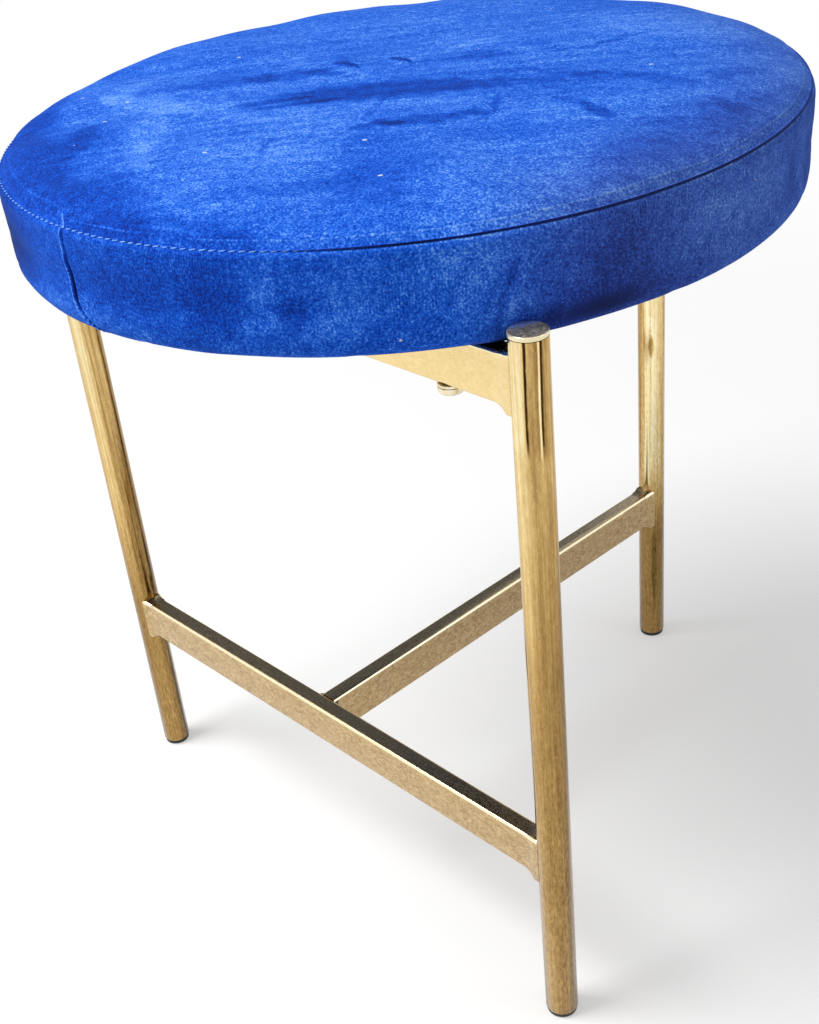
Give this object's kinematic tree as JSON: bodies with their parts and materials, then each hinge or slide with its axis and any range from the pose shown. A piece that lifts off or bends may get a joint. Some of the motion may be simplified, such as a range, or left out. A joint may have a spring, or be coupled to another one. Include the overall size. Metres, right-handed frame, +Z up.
{
  "type": "vanity stool",
  "caption": "Round velvet cushion on a gold tube frame with round legs, a T-shaped stretcher near the floor and the same bars under the seat.",
  "frame": {"origin": "on the floor, at the middle of the footprint box; the cushion axis is 6.35 mm towards -Y of it, because the back leg stands out past the cushion", "axes": "+Z up; +X to the right along the bar between the two front legs; +Y from that bar towards the single back leg"},
  "size_m": [0.3954, 0.4084, 0.4489],
  "materials": {
    "gold_tube": "polished pale gold plating over steel tube",
    "gold_cap": "gold plating over a steel disc, brushed on top",
    "gold_weld": "weld ground smooth and plated gold",
    "glide": "moulded black polyethylene",
    "zinc_steel": "zinc plated",
    "velvet_top": "royal blue short-pile velvet, nap brushed in patches",
    "velvet_band": "royal blue short-pile velvet",
    "thread": "matching blue sewing thread",
    "dust_cover": "black non-woven cloth",
    "plywood": "raw birch plywood",
    "foam": "polyurethane upholstery foam",
    "wadding": "white polyester wadding"
  },
  "bodies": {
    "root": {"cover_boxing_band": "velvet_band", "cover_top_panel": "velvet_top", "dust_cover": "dust_cover", "foam_pad": "foam", "foot_glide_back": "glide", "foot_glide_front_left": "glide", "foot_glide_front_right": "glide", "leg_back": "gold_tube", "leg_cap_back": "gold_cap", "leg_cap_front_left": "gold_cap", "leg_cap_front_right": "gold_cap", "leg_front_left": "gold_tube", "leg_front_right": "gold_tube", "lower_cross_stretcher": "gold_tube", "lower_stem_stretcher": "gold_tube", "screw_washer_back": "zinc_steel", "screw_washer_front_left": "zinc_steel", "screw_washer_front_right": "zinc_steel", "seam_thread": "thread", "seat_board": "plywood", "seat_screw_back": "zinc_steel", "seat_screw_front_left": "zinc_steel", "seat_screw_front_right": "zinc_steel", "staple_1": "zinc_steel", "staple_10": "zinc_steel", "staple_11": "zinc_steel", "staple_12": "zinc_steel", "staple_2": "zinc_steel", "staple_3": "zinc_steel", "staple_4": "zinc_steel", "staple_5": "zinc_steel", "staple_6": "zinc_steel", "staple_7": "zinc_steel", "staple_8": "zinc_steel", "staple_9": "zinc_steel", "tee_nut_back": "zinc_steel", "tee_nut_front_left": "zinc_steel", "tee_nut_front_right": "zinc_steel", "upper_cross_rail": "gold_tube", "upper_stem_rail": "gold_tube", "wadding_layer": "wadding", "weld_lower_back": "gold_weld", "weld_lower_front_left": "gold_weld", "weld_lower_front_right": "gold_weld", "weld_lower_tee_left": "gold_weld", "weld_lower_tee_right": "gold_weld", "weld_upper_back": "gold_weld", "weld_upper_front_left": "gold_weld", "weld_upper_front_right": "gold_weld", "weld_upper_tee_left": "gold_weld", "weld_upper_tee_right": "gold_weld"}
  },
  "joints": []
}
